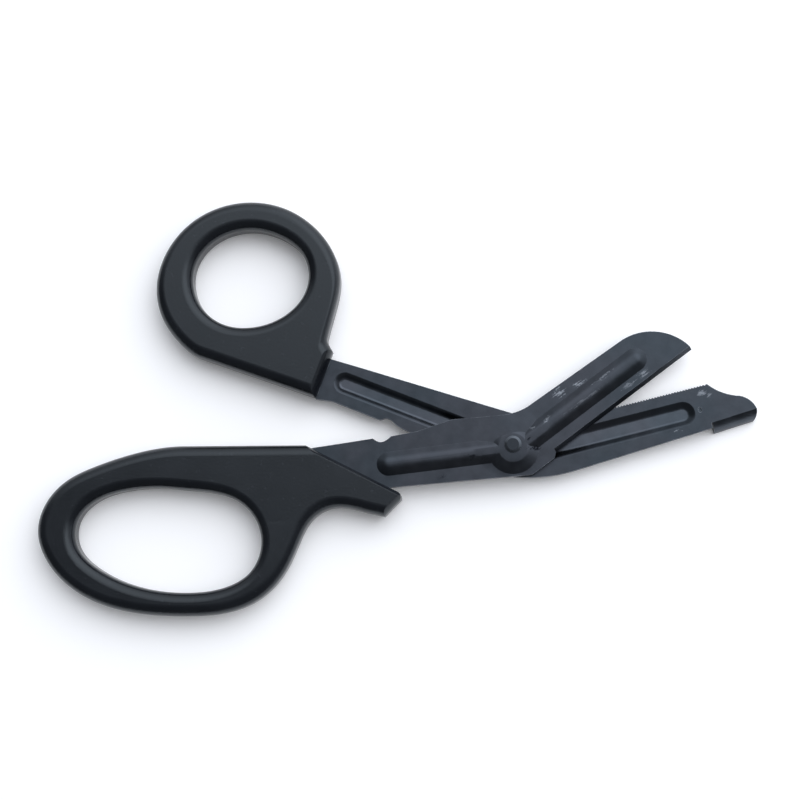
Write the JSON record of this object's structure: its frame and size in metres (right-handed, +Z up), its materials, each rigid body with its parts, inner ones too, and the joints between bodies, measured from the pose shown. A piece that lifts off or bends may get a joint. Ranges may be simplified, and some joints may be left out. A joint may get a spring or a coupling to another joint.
{
  "type": "bandage scissors",
  "caption": "Bandage scissors with angled stamped blades, a serrated edge, a blunt foot, one rivet and two moulded finger loops, lying half open.",
  "frame": {"origin": "centre of the bounding box at its base, on the surface that the scissors lie on", "axes": "+Z up from the surface, +X along the length towards the blade tips, +Y towards the thumb loop's side"},
  "size_m": [0.1872, 0.1096, 0.0084],
  "materials": {
    "black_steel": "satin black coating on stamped steel, with small scuffs",
    "rivet_steel": "satin black coating",
    "black_plastic": "smooth matte black moulding"
  },
  "bodies": {
    "finger_half": {"upper_blade": "black_steel", "finger_grip": "black_plastic", "pivot_rivet": "rivet_steel"},
    "thumb_half": {"lower_blade": "black_steel", "thumb_grip": "black_plastic"}
  },
  "joints": [
    {"name": "pivot", "type": "hinge", "parent": "finger_half", "child": "thumb_half", "pos_m": [0.03064, -0.01092, 0.0042], "axis": [0, 0, 1], "range_deg": [-115, 13]}
  ]
}
